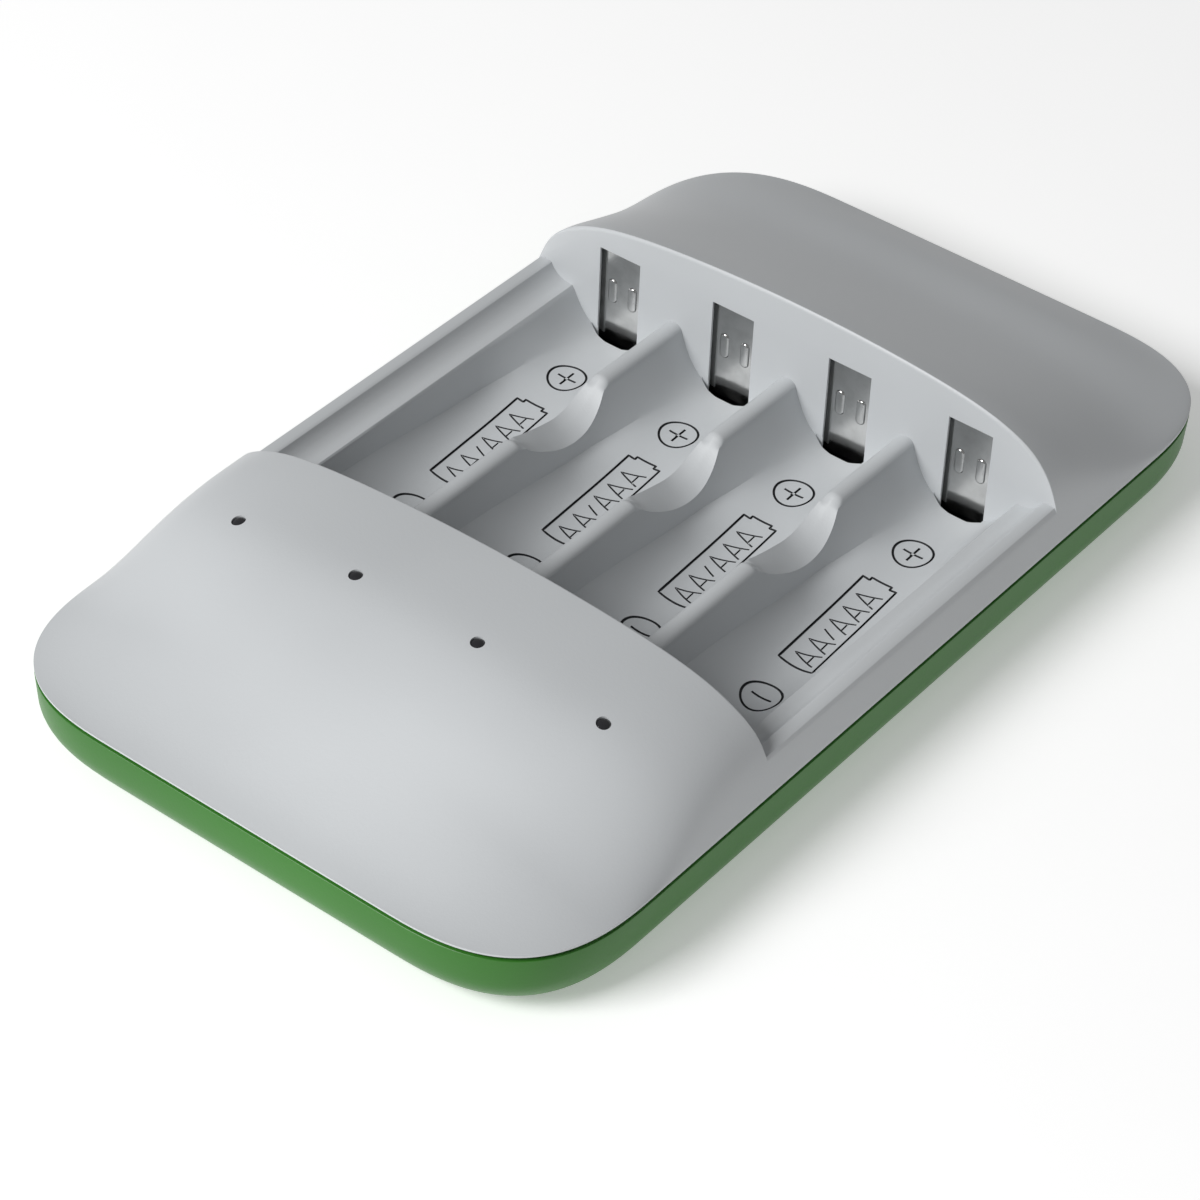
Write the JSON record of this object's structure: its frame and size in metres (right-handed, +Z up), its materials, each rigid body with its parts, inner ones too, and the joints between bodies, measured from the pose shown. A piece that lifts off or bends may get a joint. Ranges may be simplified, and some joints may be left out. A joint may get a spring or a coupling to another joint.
{
  "type": "battery charger",
  "caption": "Slim desktop charger for AA and AAA cells: side-by-side bays between an arched hood with status windows and a sloping contact deck, on a tray-shaped lower shell",
  "frame": {"origin": "centre of the footprint, on the table under the rubber feet", "axes": "+X across the bays, +Y from the hood with the status windows to the contact wall and deck, +Z up"},
  "size_m": [0.078, 0.1342, 0.0241],
  "materials": {
    "housing": "fine satin moulded surface",
    "shell": "satin moulded surface",
    "contact_steel": "bright nickel plate",
    "spring_steel": "drawn wire",
    "light_pipe": "dark smoked, polished",
    "led": "smooth",
    "circuit_board": "solder mask",
    "chip_body": "matte moulded",
    "coil_body": "matte",
    "capacitor_can": "drawn can",
    "flat_cable": "smooth",
    "inlet_steel": "plated",
    "screw_steel": "zinc plate",
    "foot_rubber": "matte"
  },
  "bodies": {
    "housing": {"top_housing": "housing", "bottom_shell": "shell", "led_board": "circuit_board", "power_board": "circuit_board", "controller_chip": "chip_body", "power_inductor": "coil_body", "filter_capacitor_1": "capacitor_can", "filter_capacitor_2": "capacitor_can", "link_cable": "flat_cable", "power_inlet": "inlet_steel", "positive_contact_1": "contact_steel", "spring_terminal_1": "contact_steel", "slider_spring_1": "spring_steel", "light_pipe_1": "light_pipe", "status_led_1": "led", "housing_screw_1": "screw_steel", "rubber_foot_1": "foot_rubber", "positive_contact_2": "contact_steel", "spring_terminal_2": "contact_steel", "slider_spring_2": "spring_steel", "light_pipe_2": "light_pipe", "status_led_2": "led", "housing_screw_2": "screw_steel", "rubber_foot_2": "foot_rubber", "positive_contact_3": "contact_steel", "spring_terminal_3": "contact_steel", "slider_spring_3": "spring_steel", "light_pipe_3": "light_pipe", "status_led_3": "led", "housing_screw_3": "screw_steel", "rubber_foot_3": "foot_rubber", "positive_contact_4": "contact_steel", "spring_terminal_4": "contact_steel", "slider_spring_4": "spring_steel", "light_pipe_4": "light_pipe", "status_led_4": "led", "housing_screw_4": "screw_steel", "rubber_foot_4": "foot_rubber"},
    "negative_contact_1": {"negative_slider_1": "contact_steel"},
    "negative_contact_2": {"negative_slider_2": "contact_steel"},
    "negative_contact_3": {"negative_slider_3": "contact_steel"},
    "negative_contact_4": {"negative_slider_4": "contact_steel"}
  },
  "joints": [
    {"name": "contact_1_slide", "type": "slide", "parent": "housing", "child": "negative_contact_1", "axis": [0, -1, 0], "range_m": [0, 0.007], "stiffness_N_per_m": 250, "springref_m": -0.003, "deforming": ["slider_spring_1"]},
    {"name": "contact_2_slide", "type": "slide", "parent": "housing", "child": "negative_contact_2", "axis": [0, -1, 0], "range_m": [0, 0.007], "stiffness_N_per_m": 250, "springref_m": -0.003, "deforming": ["slider_spring_2"]},
    {"name": "contact_3_slide", "type": "slide", "parent": "housing", "child": "negative_contact_3", "axis": [0, -1, 0], "range_m": [0, 0.007], "stiffness_N_per_m": 250, "springref_m": -0.003, "deforming": ["slider_spring_3"]},
    {"name": "contact_4_slide", "type": "slide", "parent": "housing", "child": "negative_contact_4", "axis": [0, -1, 0], "range_m": [0, 0.007], "stiffness_N_per_m": 250, "springref_m": -0.003, "deforming": ["slider_spring_4"]}
  ]
}
